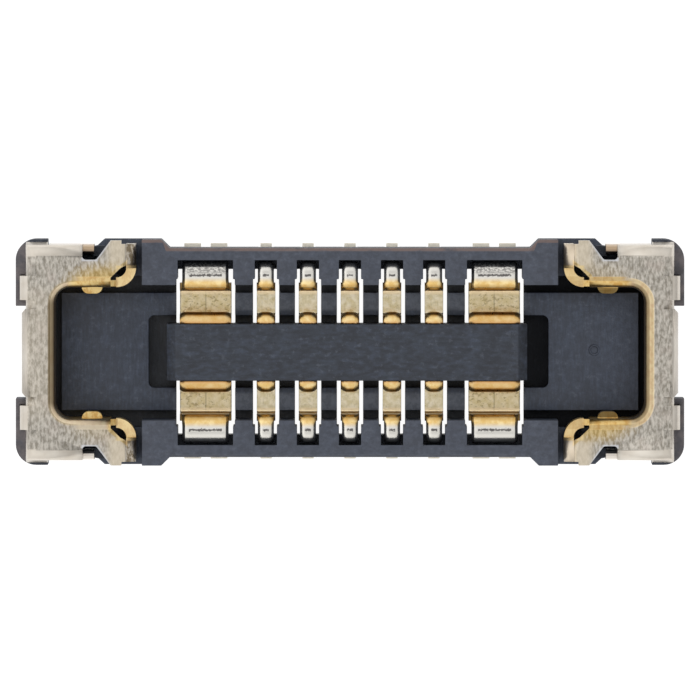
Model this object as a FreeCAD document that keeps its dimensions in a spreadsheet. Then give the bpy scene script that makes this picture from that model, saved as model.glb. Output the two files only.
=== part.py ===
import FreeCAD, Part
import math
import os
import Sketcher

# Low-profile board-to-board receptacle with ten signal contacts, four wide
# power contacts and two stamped end shells.  Millimetres, +Z up, +X along the
# length.  The origin is on the board, under the middle of the connector.

doc = FreeCAD.newDocument("receptacle")

# Driving dimensions

SIZES = [
    # Overall
    ("length", 5.566, "housing length over the corner blocks"),
    ("width", 1.88, "housing width over the corner blocks"),
    ("seat_gap", 0.02, "board to the underside of the housing"),
    ("wall_top", 0.52, "height of the long walls above the board"),
    ("sheet", 0.08, "sheet thickness of the end shells"),
    ("strip", 0.06, "strip thickness of the contacts"),
    ("fit", 0.005, "clearance between moulded and stamped faces"),
    # Housing
    ("floor_top", 0.20, "top of the floor between the walls"),
    ("groove_floor", 0.08, "bottom of the grooves in the floor"),
    ("island_top", 0.46, "height of the centre island"),
    ("island_half_width", 0.235, "half the width of the island"),
    ("island_left", 1.525, "left end of the island"),
    ("island_right", 1.475, "right end of the island"),
    ("island_bevel", 0.075, "bevel at both ends of the island"),
    ("moat_half_width", 0.302, "half the width of the pocket round the island"),
    ("moat_left", 1.678, "left end of that pocket"),
    ("moat_right", 1.654, "right end of that pocket"),
    ("moat_corner", 0.05, "corner radius of that pocket"),
    ("block_back", 1.052, "end of the high long walls, back from the part's end"),
    ("wall_outer", 0.87, "outer face of the long walls"),
    ("wall_inner", 0.5625, "inner face of the long walls"),
    ("wall_bevel", 0.03, "bevel on the outer top edge of the walls"),
    ("flare_start_back", 1.213, "where the walls reach the full width, back from the end"),
    ("flare_end_back", 0.738, "where the full width ends, back from the end"),
    ("table_back", 0.379, "end of the raised floor, back from the end"),
    ("table_half_width", 0.49, "side of the raised floor"),
    ("corner_block", 0.268, "length of the corner blocks"),
    ("corner_top", 0.36, "height of the corner blocks"),
    ("corner_round", 0.17, "radius of the outer corners"),
    ("end_recess", 0.385, "half the width of the recess in each end"),
    ("notch_relief", 0.765, "arm face beside the notch of the shell"),
    # End shells
    ("skirt_back", 0.087, "outer face of the end skirt, back from the end"),
    ("shell_outer_side", 0.896, "outer face of the side skirts"),
    ("lip_back", 0.333, "inner face of the end lip, back from the end"),
    ("shell_inner_side", 0.546, "inner face of the side lips"),
    ("shell_inner_corner", 0.13, "corner radius of the shell opening"),
    ("edge_bend", 0.10, "outer radius of the bends of the outer edges"),
    ("inner_bend", 0.055, "outer radius of the bends round the opening"),
    ("skirt_flare", 0.022, "how far the lower edge of the skirts flares out at the corners"),
    ("flare_rise", 0.10, "height of that flare"),
    ("lip_bottom", 0.10, "lower edge of the inner lips"),
    ("lip_end_back", 0.793, "free end of the inner side lips, back from the end"),
    ("skirt_start_back", 0.558, "inner end of the side skirts, back from the end"),
    ("foot_start_back", 0.653, "inner end of the side soldering feet, back from the end"),
    ("foot_step", 0.25, "height of the step in the side feet"),
    ("notch_bottom", 0.775, "bottom of the notch in the plate edge"),
    ("notch_width", 0.115, "width of the notch along its bottom"),
    ("notch_round", 0.03, "radius in the corners of the notch"),
    ("wing_side", 0.935, "outer edge of the wings"),
    ("wing_low_side", 0.905, "outer edge of the wings beside their turned-down ends"),
    ("wing_step_back", 0.883, "where the wings get wider, back from the end"),
    ("wing_lean", 0.12, "run of the slanted edge of the wings"),
    ("wing_back", 1.003, "outer face of the turned-down wing ends, back from the end"),
    ("wing_heel", 0.704, "where the plate stops beside the curl"),
    ("curl_radius", 0.16, "outer radius of the curled spring"),
    ("curl_top", 0.50, "upper edge of the curled spring"),
    ("curl_bottom", 0.22, "lower edge of the curled spring"),
    ("bump_back", 0.638, "centre of the locking bumps, back from the end"),
    ("bump_half_width", 0.085, "half the width of the locking bumps"),
    ("bump_rise", 0.055, "how far the bumps stand out"),
    ("bump_bottom", 0.27, "lower end of the bumps"),
    ("bump_top", 0.46, "upper end of the bumps"),
    ("tab_back", 0.053, "outer face of the middle tab, back from the end"),
    ("tab_half_width", 0.325, "half the width of the middle tab"),
    ("tab_shoulder", 0.04, "run of the slanted shoulders of the middle tab"),
    ("side_tab_back", 0.038, "outer face of the side tabs, back from the end"),
    ("side_tab_near", 0.44, "near edge of the side tabs"),
    ("side_tab_far", 0.64, "far edge of the side tabs"),
    ("side_tab_bottom", 0.22, "lower end of the side tabs"),
    # Contacts
    ("pitch", 0.35, "signal contact pitch"),
    ("power_place", 1.203, "centre of the power contacts"),
    ("signal_body", 0.155, "width of a signal contact"),
    ("signal_head", 0.12, "width of its head in the wall"),
    ("signal_tail", 0.095, "width of its soldering tail"),
    ("signal_window", 0.218, "width of the window under it"),
    ("signal_slot", 0.184, "width of its slot in the wall"),
    ("power_body", 0.43, "width of a power contact"),
    ("power_head", 0.36, "width of its head in the wall"),
    ("power_split", 0.08, "gap between its two soldering feet"),
    ("power_window", 0.49, "width of the window under it"),
    ("power_slot", 0.46, "width of its slot in the wall"),
    ("tail_end", 0.90, "tip of the soldering tails"),
    ("tail_neck", 0.77, "where the tails get their own width"),
    ("leg_outer", 0.75, "outer face of the leg in the wall"),
    ("head_span", 0.235, "width of the head over both legs"),
    ("head_corner", 0.477, "corner of the strip's middle line over the leg"),
    ("head_fall", 0.04, "how much lower its next corner lies"),
    ("head_neck", 0.50, "inner end of the narrow upper part of the head"),
    ("head_foot", 0.28, "lower end of that part"),
    ("head_step", 0.60, "where the whole strip gets its full width"),
    ("cradle_bottom", 0.04, "underside of the contact cradle"),
    ("spring_face", 0.245, "inner face of the spring leg"),
    ("spring_knee", 0.20, "height where the spring leg leans out"),
    ("spring_reach", 0.335, "furthest point of the spring leg"),
    ("spring_corner_out", 0.316, "corner of the spring's middle line, away from the island"),
    ("spring_corner_up", 0.335, "height of that corner"),
    ("tip_in", 0.20, "end of the tip's middle line, inside the island's side"),
    ("tip_up", 0.391, "height of that end"),
    ("spring_corner", 0.06, "corner radius of the spring tip seen from above"),
    ("bend", 0.05, "bend radius on the middle of the strip"),
    ("slot_floor", 0.28, "bottom of the wall slots"),
    ("slot_end", 0.77, "outer end of the wall slots"),
    ("window_end", 0.69, "outer end of the open windows"),
    ("window_shoulder", 0.612, "where the windows get narrower"),
]

SIGNAL_COLUMNS = 5

sheet_of_sizes = doc.addObject("Spreadsheet::Sheet", "Sizes")
for row, (alias, value, meaning) in enumerate(SIZES, start=1):
    sheet_of_sizes.set("A%d" % row, alias)
    sheet_of_sizes.set("B%d" % row, str(value))
    sheet_of_sizes.set("C%d" % row, meaning)
    sheet_of_sizes.setAlias("B%d" % row, alias)
doc.recompute()


class Length:
    """A length that carries its value and the expression that gives it."""

    def __init__(self, value, text):
        self.value = value
        self.text = text

    def __add__(self, other):
        other = as_length(other)
        return Length(self.value + other.value, "(%s + %s)" % (self.text, other.text))

    def __sub__(self, other):
        other = as_length(other)
        return Length(self.value - other.value, "(%s - %s)" % (self.text, other.text))

    def __mul__(self, factor):
        return Length(self.value * factor, "(%s * %s)" % (self.text, factor))

    def __truediv__(self, divisor):
        return Length(self.value / divisor, "(%s / %s)" % (self.text, divisor))

    def __neg__(self):
        return Length(-self.value, "(0 - %s)" % self.text)


def as_length(number):
    """Give a plain number the same form as a named size."""
    if isinstance(number, Length):
        return number
    return Length(float(number), repr(float(number)))


class Sizes:
    """The driving dimensions by name, read from the spreadsheet."""

    def __getattr__(self, alias):
        return Length(float(sheet_of_sizes.get(alias)), "Sizes." + alias)


s = Sizes()
NEAR = 1e-4
ZERO = as_length(0)


def bind(thing, name, length):
    """Set a property to a length and keep it tied to the sheet."""
    thing.setExpression(name, as_length(length).text)


# Sketches, pads and pockets

def new_body(label):
    body = doc.addObject("PartDesign::Body", label)
    body.Label = label
    return body


def new_sketch(body, name, plane, offset=ZERO):
    """An empty sketch on one of the body's own planes, moved along its normal."""
    sketch = body.newObject("Sketcher::SketchObject", name)
    support = [o for o in body.Origin.OriginFeatures if o.Role == plane][0]
    sketch.AttachmentSupport = [(support, "")]
    sketch.MapMode = "FlatFace"
    bind(sketch, ".AttachmentOffset.Base.z", offset)
    return sketch


class Rules:
    """The constraints of one outline, added to its sketch in one go."""

    def __init__(self):
        self.constraints = []
        self.ties = []

    def add(self, *parts):
        self.constraints.append(Sketcher.Constraint(*parts))

    def tie(self, length, *parts):
        self.ties.append((len(self.constraints), length))
        self.add(*parts, length.value)

    def place(self, geometry, position, corner):
        """Tie one point of the sketch to two lengths."""
        self.tie(corner[0], "DistanceX", -1, 1, geometry, position)
        self.tie(corner[1], "DistanceY", -1, 1, geometry, position)

    def apply(self, sketch):
        first = sketch.ConstraintCount
        sketch.addConstraint(self.constraints)
        for index, length in self.ties:
            bind(sketch, "Constraints[%d]" % (first + index), length)


def rounding(before, corner, after, radius):
    """Tangent points and centre of an arc that rounds one corner."""
    to_before = (before - corner).normalize()
    to_after = (after - corner).normalize()
    half_turn = to_before.getAngle(to_after) / 2
    run = radius / math.tan(half_turn)
    middle = (to_before + to_after).normalize()
    centre = corner + middle * (radius / math.sin(half_turn))
    return corner + to_before * run, corner + to_after * run, centre


def round_corner(sketch, rules, first, second, corner, start, end, centre):
    """Join two lines by a tangent arc, with the corner kept as a mark."""
    radius = corner[2]
    turn = (start - centre).cross(end - centre).z
    tips = (start, end) if turn > 0 else (end, start)
    angles = [math.atan2(tip.y - centre.y, tip.x - centre.x) for tip in tips]
    circle = Part.Circle(centre, FreeCAD.Vector(0, 0, 1), radius.value)
    arc = sketch.addGeometry(Part.ArcOfCircle(circle, angles[0], angles[1]), False)
    arc_start, arc_end = (1, 2) if turn > 0 else (2, 1)
    mark = sketch.addGeometry(
        Part.Point(FreeCAD.Vector(corner[0].value, corner[1].value, 0)), True)
    rules.add("Tangent", first, 2, arc, arc_start)
    rules.add("Tangent", arc, arc_end, second, 1)
    rules.tie(radius, "Radius", arc)
    rules.place(mark, 1, corner)
    rules.add("PointOnObject", mark, 1, first)
    rules.add("PointOnObject", mark, 1, second)


def draw(sketch, corners, closed=True):
    """Draw lines through corners (x, y) or (x, y, radius), each tied to sizes."""
    corners = [tuple(as_length(part) for part in corner) for corner in corners]
    points = [FreeCAD.Vector(c[0].value, c[1].value, 0) for c in corners]
    count = len(points)
    arrive = list(points)
    leave = list(points)
    centres = [None] * count
    for index, corner in enumerate(corners):
        if len(corner) == 3:
            before = points[index - 1]
            after = points[(index + 1) % count]
            arrive[index], leave[index], centres[index] = rounding(
                before, points[index], after, corner[2].value)
    runs = count if closed else count - 1
    lines = [
        sketch.addGeometry(Part.LineSegment(leave[i], arrive[(i + 1) % count]), False)
        for i in range(runs)]
    rules = Rules()
    for index, corner in enumerate(corners):
        if not closed and index == 0:
            rules.place(lines[0], 1, corner)
        elif not closed and index == count - 1:
            rules.place(lines[-1], 2, corner)
        elif centres[index] is None:
            rules.add("Coincident", lines[index - 1], 2, lines[index], 1)
            rules.place(lines[index], 1, corner)
        else:
            round_corner(sketch, rules, lines[index - 1], lines[index], corner,
                         arrive[index], leave[index], centres[index])
    rules.apply(sketch)


def box_corners(left, right, low, high):
    """The four corners of a rectangle."""
    return [(left, low), (right, low), (right, high), (left, high)]


def pad(body, sketch, length, name, symmetric=False):
    """Raise a sketch along its normal."""
    feature = body.newObject("PartDesign::Pad", name)
    feature.Profile = sketch
    if symmetric:
        feature.SideType = "Symmetric"
    bind(feature, "Length", length)
    doc.recompute()
    return feature


def pocket(body, sketch, length, name, upward=False):
    """Cut a sketch into the body, downward if not told, and check that it cuts."""
    before = body.Shape.Volume
    feature = body.newObject("PartDesign::Pocket", name)
    feature.Profile = sketch
    feature.Reversed = upward
    bind(feature, "Length", length)
    doc.recompute()
    if body.Shape.Volume >= before:
        raise RuntimeError("%s cuts nothing" % name)
    return feature


def round_edges(body, feature, radius, name, wanted):
    """Fillet the edges whose bounding box passes a test."""
    names = ["Edge%d" % (i + 1) for i, edge in enumerate(feature.Shape.Edges)
             if wanted(edge.BoundBox)]
    fillet = body.newObject("PartDesign::Fillet", name)
    fillet.Base = (feature, names)
    bind(fillet, "Radius", radius)
    doc.recompute()
    return fillet


def mirror_across(body, originals, plane, name):
    """Repeat features on the other side of one of the body's planes."""
    support = [o for o in body.Origin.OriginFeatures if o.Role == plane][0]
    feature = body.newObject("PartDesign::Mirrored", name)
    feature.Originals = originals
    feature.MirrorPlane = (support, [""])
    body.Tip = feature
    doc.recompute()
    return feature


def repeat_along(body, originals, axis, span, count, name):
    """Repeat features at even steps along one of the body's axes."""
    support = [o for o in body.Origin.OriginFeatures if o.Role == axis][0]
    feature = body.newObject("PartDesign::LinearPattern", name)
    feature.Originals = originals
    feature.Direction = (support, [""])
    feature.Occurrences = count
    bind(feature, "Length", span)
    body.Tip = feature
    doc.recompute()
    return feature


def new_twin(label, source):
    """A second piece of the same shape, tied to the first."""
    body = new_body(label)
    twin = body.newObject("PartDesign::FeatureBase", label + "_shape")
    twin.BaseFeature = source
    body.Tip = twin
    return body


def put(body, column, turned):
    """Set a piece at its place along the length, turned to face the other way."""
    if turned:
        body.Placement.Rotation = FreeCAD.Rotation(FreeCAD.Vector(0, 0, 1), 180)
    bind(body, ".Placement.Base.x", column)
    return body


def four_quadrants(quarter):
    """Mirror a quarter outline, from the Y axis to the X axis, all the way round."""
    upper_left = [(-c[0],) + tuple(c[1:]) for c in reversed(quarter)]
    upper = upper_left + list(quarter)
    lower = [(c[0], -c[1]) + tuple(c[2:]) for c in reversed(upper)]
    return upper + lower


def both_sides(half):
    """Mirror an outline from the far side of the X axis to the near side."""
    return list(half) + [(c[0], -c[1]) + tuple(c[2:]) for c in reversed(half)]


# Places that several pieces share

half_length = s.length / 2
half_width = s.width / 2
block_half_length = half_length - s.block_back
flare_start = half_length - s.flare_start_back
flare_end = half_length - s.flare_end_back
table_half_length = half_length - s.table_back
corner_inner = half_length - s.corner_block
shell_outer_end = half_length - s.skirt_back
shell_inner_end = half_length - s.lip_back
lip_end = half_length - s.lip_end_back
skirt_start = half_length - s.skirt_start_back
foot_start = half_length - s.foot_start_back
wing_end = half_length - s.wing_back
bump_centre = half_length - s.bump_back
tab_outer = half_length - s.tab_back
side_tab_outer = half_length - s.side_tab_back
shell_top = s.wall_top + s.sheet
arm_inner = s.shell_inner_side + s.sheet + s.fit
arm_outer = s.shell_outer_side - s.sheet - s.fit
end_wall_inner = shell_inner_end + s.sheet + s.fit
end_wall_outer = shell_outer_end - s.sheet - s.fit
wing_inner = wing_end + s.sheet
first_column = -(s.pitch * ((SIGNAL_COLUMNS - 1) / 2))
channel_top = s.bend + s.strip / 2 + s.fit


# Housing

def base_outline():
    """Plan of the housing foot, with corner blocks, recesses and flared walls."""
    flare_run = half_width - s.wall_outer
    foot_clear = foot_start - s.fit * 2
    return four_quadrants([
        (flare_start - flare_run, s.wall_outer),
        (flare_start, half_width),
        (flare_end, half_width),
        (foot_clear, s.wall_outer),
        (foot_clear, arm_outer),
        (corner_inner, arm_outer),
        (corner_inner, half_width),
        (half_length, half_width, s.corner_round),
        (half_length, s.end_recess),
        (tab_outer - s.sheet - s.fit, s.end_recess),
    ])


def add_base(body):
    sketch = new_sketch(body, "base_outline", "XY_Plane", s.seat_gap)
    draw(sketch, base_outline())
    pad(body, sketch, s.floor_top - s.seat_gap, "base")


def add_long_walls(body):
    """Two high walls with bevelled outer edges and flared ends."""
    sketch = new_sketch(body, "wall_section", "YZ_Plane")
    for side in (1, -1):
        draw(sketch, [
            (s.wall_inner * side, s.floor_top),
            (s.wall_outer * side, s.floor_top),
            (s.wall_outer * side, s.wall_top - s.wall_bevel),
            ((s.wall_outer - s.wall_bevel) * side, s.wall_top),
            (s.wall_inner * side, s.wall_top),
        ])
    pad(body, sketch, block_half_length * 2, "long_walls", symmetric=True)
    flare = new_sketch(body, "flare_outline", "XY_Plane", s.floor_top)
    flare_run = half_width - s.wall_outer + s.wall_bevel
    root = s.wall_outer - s.wall_bevel
    for along in (1, -1):
        for side in (1, -1):
            draw(flare, [
                ((flare_start - flare_run) * along, root * side),
                (flare_start * along, half_width * side),
                (block_half_length * along, half_width * side),
                (block_half_length * along, root * side),
            ])
    pad(body, flare, s.wall_top - s.floor_top, "flared_ends")


def add_arms(body):
    """U-shaped ribs that the end shells sit astride, and the corner blocks."""
    sketch = new_sketch(body, "arm_outline", "XY_Plane", s.floor_top)
    wing_root = s.wing_heel + s.sheet
    for along in (1, -1):
        half = [
            (wing_inner + s.fit, wing_root),
            (wing_inner + s.fit, s.wall_outer),
            (flare_end - s.fit * 2, s.wall_outer),
            (flare_end - s.fit * 2, arm_outer),
            (end_wall_outer, arm_outer),
        ]
        back = [
            (end_wall_inner, arm_inner),
            (lip_end, arm_inner),
            (lip_end, s.wing_heel),
            (lip_end - s.fit * 4, wing_root),
        ]
        outline = both_sides(half) + [(c[0], -c[1]) for c in reversed(back)] + back
        draw(sketch, [(c[0] * along,) + tuple(c[1:]) for c in outline])
    pad(body, sketch, s.wall_top - s.floor_top, "arms")
    relief = new_sketch(body, "notch_relief", "XY_Plane", s.wall_top)
    for along in (1, -1):
        for side in (1, -1):
            draw(relief, box_corners(flare_end * along, skirt_start * along,
                                     s.notch_relief * side, half_width * side))
    pocket(body, relief, s.wall_top - s.floor_top, "notch_reliefs")
    blocks = new_sketch(body, "corner_outline", "XY_Plane", s.floor_top)
    for along in (1, -1):
        for side in (1, -1):
            draw(blocks, [
                (corner_inner * along, (arm_outer - s.sheet) * side),
                (corner_inner * along, half_width * side),
                (half_length * along, half_width * side, s.corner_round),
                (half_length * along, s.end_recess * side),
                ((end_wall_outer - s.sheet / 2) * along, s.end_recess * side),
                ((end_wall_outer - s.sheet / 2) * along, (arm_outer - s.sheet) * side),
            ])
    pad(body, blocks, s.corner_top - s.floor_top, "corner_blocks")


def cut_tab_slots(body):
    """Slots in the corner blocks that hold the side tabs of the shells."""
    sketch = new_sketch(body, "tab_slots", "XY_Plane", s.corner_top)
    for along in (1, -1):
        for side in (1, -1):
            draw(sketch, box_corners(
                (side_tab_outer - s.sheet - s.fit) * along, (side_tab_outer + s.fit) * along,
                (s.side_tab_near - s.fit) * side, (s.side_tab_far + s.fit) * side))
    pocket(body, sketch, s.corner_top - s.side_tab_bottom + s.fit, "tab_slots_cut")


def cut_grooves(body):
    """The groove between the raised floor and the walls."""
    sketch = new_sketch(body, "groove_outline", "XY_Plane", s.floor_top)
    draw(sketch, four_quadrants([
        (block_half_length, s.wall_inner),
        (block_half_length, arm_inner),
        (end_wall_inner, arm_inner),
    ]))
    draw(sketch, box_corners(-table_half_length, table_half_length,
                             -s.table_half_width, s.table_half_width))
    pocket(body, sketch, s.floor_top - s.groove_floor, "grooves")


def add_island(body):
    """The pocket in the floor and the bevelled island that stands in it."""
    moat = new_sketch(body, "moat_outline", "XY_Plane", s.floor_top)
    draw(moat, [
        (-s.moat_left, -s.moat_half_width, s.moat_corner),
        (s.moat_right, -s.moat_half_width, s.moat_corner),
        (s.moat_right, s.moat_half_width, s.moat_corner),
        (-s.moat_left, s.moat_half_width, s.moat_corner),
    ])
    pocket(body, moat, s.floor_top - s.groove_floor, "moat")
    island = new_sketch(body, "island_section", "XZ_Plane")
    shoulder = s.island_top - s.island_bevel
    draw(island, [
        (-s.island_left, s.groove_floor),
        (s.island_right, s.groove_floor),
        (s.island_right, shoulder),
        (s.island_right - s.island_bevel, s.island_top),
        (s.island_bevel - s.island_left, s.island_top),
        (-s.island_left, shoulder),
    ])
    pad(body, island, s.island_half_width * 2, "island", symmetric=True)


def cavity_outline(centre, side, window, slot, head):
    """Plan of the opening for one contact: window, narrower slot, leg slot."""
    half = [
        (window / 2, s.island_half_width),
        (window / 2, s.window_shoulder),
        (slot / 2, s.window_shoulder),
        (slot / 2, s.window_end),
        (head / 2, s.window_end),
        (head / 2, s.leg_outer),
    ]
    right = [(centre + across, away * side) for across, away in half]
    left = [(centre - across, away * side) for across, away in reversed(half)]
    return right + left


def cut_cavities(body, kind, centres, window, slot, head):
    """Windows, wall slots and tail channels for contacts of one kind, both rows."""
    windows = new_sketch(body, kind + "_windows", "XY_Plane", s.wall_top)
    slots = new_sketch(body, kind + "_slots", "XY_Plane", s.wall_top)
    channels = new_sketch(body, kind + "_channels", "XY_Plane", channel_top)
    for centre in centres:
        for side in (1, -1):
            draw(windows, cavity_outline(centre, side, window, slot, head))
            draw(slots, box_corners(centre - slot / 2, centre + slot / 2,
                                    s.window_shoulder * side, s.slot_end * side))
            draw(channels, box_corners(centre - head / 2, centre + head / 2,
                                       s.window_end * side, s.tail_end * side))
    return [
        pocket(body, windows, s.wall_top, kind + "_windows_cut"),
        pocket(body, slots, s.wall_top - s.slot_floor, kind + "_slots_cut"),
        pocket(body, channels, channel_top, kind + "_channels_cut"),
    ]


def build_housing():
    body = new_body("housing")
    add_base(body)
    add_long_walls(body)
    add_arms(body)
    cut_tab_slots(body)
    cut_grooves(body)
    add_island(body)
    cut_cavities(body, "power", (-s.power_place, s.power_place),
                 s.power_window, s.power_slot, s.power_head)
    column = cut_cavities(body, "signal", (first_column,),
                          s.signal_window, s.signal_slot, s.signal_head)
    repeat_along(body, column, "X_Axis", s.pitch * (SIGNAL_COLUMNS - 1),
                 SIGNAL_COLUMNS, "signal_columns")
    return body


# Contacts

def strip_path():
    """Middle line of the strip, from the tail tip to the spring tip."""
    half_strip = s.strip / 2
    leg = s.leg_outer - half_strip
    drop = s.leg_outer - s.head_span + half_strip
    cradle = s.cradle_bottom + half_strip
    spring = s.spring_face + half_strip
    return [
        (s.tail_end, half_strip),
        (leg, half_strip, s.bend),
        (leg, s.head_corner, s.bend),
        (drop, s.head_corner - s.head_fall, s.bend),
        (drop, cradle, s.bend),
        (spring, cradle, s.bend),
        (spring, s.spring_knee, s.bend),
        (s.spring_corner_out, s.spring_corner_up, s.bend),
        (s.tip_in, s.tip_up),
    ]


def bent_strip(body, width):
    """The strip at its full width, bent along its path."""
    path = new_sketch(body, "path", "YZ_Plane")
    draw(path, strip_path(), closed=False)
    section = new_sketch(body, "section", "XZ_Plane", -s.tail_end)
    draw(section, box_corners(-width / 2, width / 2, ZERO, s.strip))
    sweep = body.newObject("PartDesign::AdditivePipe", "bent_strip")
    sweep.Profile = section
    sweep.Spine = (path, [])
    doc.recompute()


def trim_beside(body, width, start, depth, name):
    """Cut the strip from above to a smaller width, from one place to the tail tip."""
    sketch = new_sketch(body, name + "_outline", "XY_Plane", shell_top)
    for side in (1, -1):
        draw(sketch, box_corners(width / 2 * side, s.power_window * side,
                                 start, s.tail_end + s.strip))
    pocket(body, sketch, depth, name)


def cut_tip(body, width):
    """Trim the end of the spring upright, just clear of the island."""
    sketch = new_sketch(body, "tip_trim", "XY_Plane", shell_top)
    draw(sketch, box_corners(-width, width, ZERO, s.island_half_width + s.fit))
    pocket(body, sketch, shell_top - s.spring_knee, "tip_cut")


def crown_spring(body, width):
    """Round the corners of the spring tip, as seen from above."""
    sketch = new_sketch(body, "crown_outline", "XY_Plane", shell_top)
    low = s.spring_reach - s.spring_corner * 1.25
    far = s.spring_reach + s.strip
    outside = width / 2 + s.strip
    draw(sketch, [
        (-outside, low),
        (-outside, far),
        (outside, far),
        (outside, low),
        (width / 2, low),
        (width / 2, s.spring_reach, s.spring_corner),
        (-width / 2, s.spring_reach, s.spring_corner),
        (-width / 2, low),
    ])
    pocket(body, sketch, shell_top - s.cradle_bottom - s.strip * 1.5, "crown")


def build_signal_contact(label):
    """A narrow bent strip: tail, leg and head in the wall, cradle and spring."""
    body = new_body(label)
    bent_strip(body, s.signal_body)
    trim_beside(body, s.signal_head, s.head_step, shell_top, "narrow_leg")
    trim_beside(body, s.signal_head, s.head_neck, shell_top - s.head_foot, "narrow_head")
    trim_beside(body, s.signal_tail, s.tail_neck, shell_top, "narrow_tail")
    crown_spring(body, s.signal_body)
    cut_tip(body, s.signal_body)
    return body


def build_power_contact(label):
    """The same strip three times as wide, with its tail split into two feet."""
    body = new_body(label)
    bent_strip(body, s.power_body)
    trim_beside(body, s.power_head, s.head_step, shell_top, "narrow_leg")
    trim_beside(body, s.power_head, s.head_neck, shell_top - s.head_foot, "narrow_head")
    gap = new_sketch(body, "tail_gap", "XY_Plane", shell_top)
    draw(gap, box_corners(-s.power_split / 2, s.power_split / 2,
                          s.tail_neck, s.tail_end + s.strip))
    pocket(body, gap, shell_top, "two_feet")
    crown_spring(body, s.power_body)
    cut_tip(body, s.power_body)
    return body


def build_contacts():
    """Both rows: the first of each kind is drawn, and the rest are its twins."""
    signals = []
    powers = []
    for row, turned in (("front", True), ("rear", False)):
        for index in range(SIGNAL_COLUMNS):
            label = "signal_contact_%s_%d" % (row, index + 1)
            contact = new_twin(label, signals[0]) if signals else build_signal_contact(label)
            signals.append(put(contact, first_column + s.pitch * index, turned))
        for name, column in (("left", -s.power_place), ("right", s.power_place)):
            label = "power_contact_%s_%s" % (row, name)
            contact = new_twin(label, powers[0]) if powers else build_power_contact(label)
            powers.append(put(contact, column, turned))
    return signals + powers


# End shells

def plate_outline():
    """Plan of the shell for the right end, far side first."""
    diagonal = skirt_start - s.notch_width
    return both_sides([
        (shell_inner_end, s.shell_inner_side, s.shell_inner_corner),
        (lip_end, s.shell_inner_side),
        (lip_end, s.shell_inner_side + s.sheet),
        (lip_end - s.sheet, s.wing_heel),
        (wing_inner, s.wing_heel + s.sheet / 3),
        (wing_inner, s.wing_heel),
        (wing_end, s.wing_heel),
        (wing_end, s.wing_low_side),
        (half_length - s.wing_step_back, s.wing_low_side),
        (half_length - s.wing_step_back, s.wing_side),
        (diagonal - s.wing_lean, s.wing_side),
        (diagonal, s.notch_bottom, s.notch_round),
        (skirt_start, s.notch_bottom, s.notch_round),
        (skirt_start, s.shell_outer_side),
        (shell_outer_end, s.shell_outer_side),
    ][::-1])


def add_plate(body):
    """Flat top with its edges turned down, made as a block and hollowed."""
    sketch = new_sketch(body, "plate_outline", "XY_Plane", s.corner_top)
    draw(sketch, plate_outline())
    block = pad(body, sketch, shell_top - s.corner_top, "plate_block")

    top = shell_top.value - NEAR
    side = s.shell_outer_side.value
    opening = s.shell_inner_side.value + NEAR

    def outer_edge(box):
        along_side = min(abs(box.YMin), abs(box.YMax)) > side - NEAR
        skirt = box.XMin > skirt_start.value - NEAR and along_side
        wing = box.XMax < wing_end.value + NEAR
        return box.ZMin > top and (skirt or wing)

    def inner_edge(box):
        beside = max(abs(box.YMin), abs(box.YMax)) < opening
        return box.ZMin > top and box.XMin > lip_end.value - NEAR and beside

    outer = round_edges(body, block, s.edge_bend, "outer_bends", outer_edge)
    round_edges(body, outer, s.inner_bend, "inner_bends", inner_edge)
    cavity = new_sketch(body, "cavity_outline", "XY_Plane", s.corner_top)
    end = shell_inner_end + s.sheet
    side = s.shell_inner_side + s.sheet
    beyond = s.wing_side + s.sheet
    draw(cavity, both_sides([
        (end, side, s.shell_inner_corner - s.sheet),
        (wing_inner, side),
        (wing_inner, beyond),
        (skirt_start, beyond),
        (skirt_start, s.shell_outer_side - s.sheet),
        (shell_outer_end - s.sheet, s.shell_outer_side - s.sheet),
    ][::-1]))
    pocket(body, cavity, s.wall_top - s.corner_top, "hollow", upward=True)


def add_lips(body):
    """Inner lips carried down into the groove of the housing."""
    sketch = new_sketch(body, "lip_outline", "XY_Plane", s.lip_bottom)
    end = shell_inner_end + s.sheet
    side = s.shell_inner_side + s.sheet
    draw(sketch, [
        (lip_end, side),
        (end, side, s.shell_inner_corner - s.sheet),
        (end, -side, s.shell_inner_corner - s.sheet),
        (lip_end, -side),
        (lip_end, -s.shell_inner_side),
        (shell_inner_end, -s.shell_inner_side, s.shell_inner_corner),
        (shell_inner_end, s.shell_inner_side, s.shell_inner_corner),
        (lip_end, s.shell_inner_side),
    ])
    pad(body, sketch, s.corner_top - s.lip_bottom, "lips")


def add_foot(body):
    """Side skirt carried down to the board, with a stepped inner end."""
    sketch = new_sketch(body, "foot_outline", "XZ_Plane", -s.shell_outer_side)
    draw(sketch, [
        (foot_start, ZERO),
        (corner_inner - s.fit, ZERO),
        (corner_inner - s.fit, s.corner_top),
        (skirt_start, s.corner_top),
        (skirt_start, s.foot_step),
        (foot_start, s.foot_step),
    ])
    return pad(body, sketch, s.sheet, "side_foot")


def add_flare(body):
    """Lower edge of the skirt, flared out over the corner block."""
    sketch = new_sketch(body, "flare_section", "YZ_Plane", corner_inner)
    draw(sketch, [
        (s.shell_outer_side - s.sheet / 2, s.corner_top),
        (s.shell_outer_side + s.skirt_flare, s.corner_top),
        (s.shell_outer_side + s.skirt_flare, s.corner_top + s.skirt_flare),
        (s.shell_outer_side, s.corner_top + s.flare_rise),
        (s.shell_outer_side - s.sheet / 2, s.corner_top + s.flare_rise),
    ])
    return pad(body, sketch, shell_outer_end - corner_inner, "skirt_flare_out")


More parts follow.
